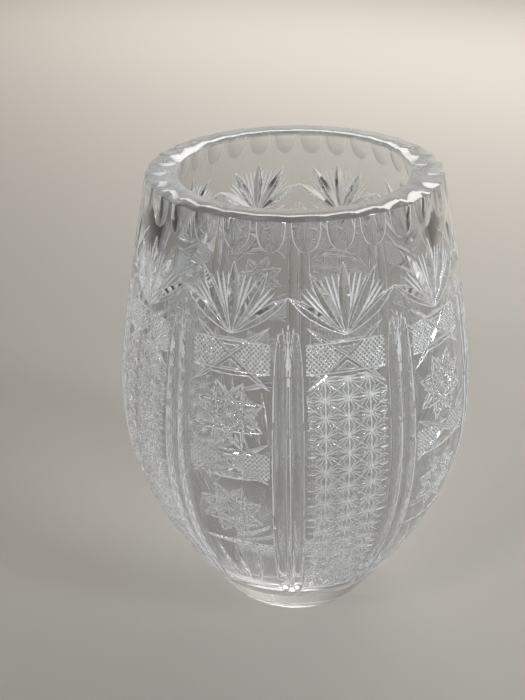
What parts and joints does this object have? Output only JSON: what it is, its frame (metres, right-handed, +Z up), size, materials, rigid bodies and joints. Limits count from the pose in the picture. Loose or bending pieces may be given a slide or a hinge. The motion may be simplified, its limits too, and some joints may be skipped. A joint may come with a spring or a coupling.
{
  "type": "cut crystal vase",
  "caption": "Heavy barrel-shaped cut crystal vase with a scalloped rim, fan cuts, hobstar and star panels, fluted columns and a polished foot.",
  "frame": {"origin": "middle of the underside of the foot", "axes": "+Z up along the vase's axis; the camera side of the picture is -Y and +X is to its right"},
  "size_m": [0.194, 0.194, 0.255],
  "materials": {
    "crystal": "polished clear lead crystal"
  },
  "bodies": {
    "root": {"foot": "crystal", "hobstar_panel_1": "crystal", "hobstar_panel_2": "crystal", "hobstar_panel_3": "crystal", "hobstar_panel_4": "crystal", "hobstar_panel_5": "crystal", "star_panel_1": "crystal", "star_panel_2": "crystal", "star_panel_3": "crystal", "star_panel_4": "crystal", "star_panel_5": "crystal", "column_1": "crystal", "column_2": "crystal", "column_3": "crystal", "column_4": "crystal", "column_5": "crystal", "column_6": "crystal", "column_7": "crystal", "column_8": "crystal", "column_9": "crystal", "column_10": "crystal", "fan_1": "crystal", "fan_2": "crystal", "fan_3": "crystal", "fan_4": "crystal", "fan_5": "crystal", "fan_6": "crystal", "fan_7": "crystal", "fan_8": "crystal", "fan_9": "crystal", "fan_10": "crystal", "rim_1": "crystal", "rim_2": "crystal", "rim_3": "crystal", "rim_4": "crystal", "rim_5": "crystal", "rim_6": "crystal", "rim_7": "crystal", "rim_8": "crystal", "rim_9": "crystal", "rim_10": "crystal"}
  },
  "joints": []
}
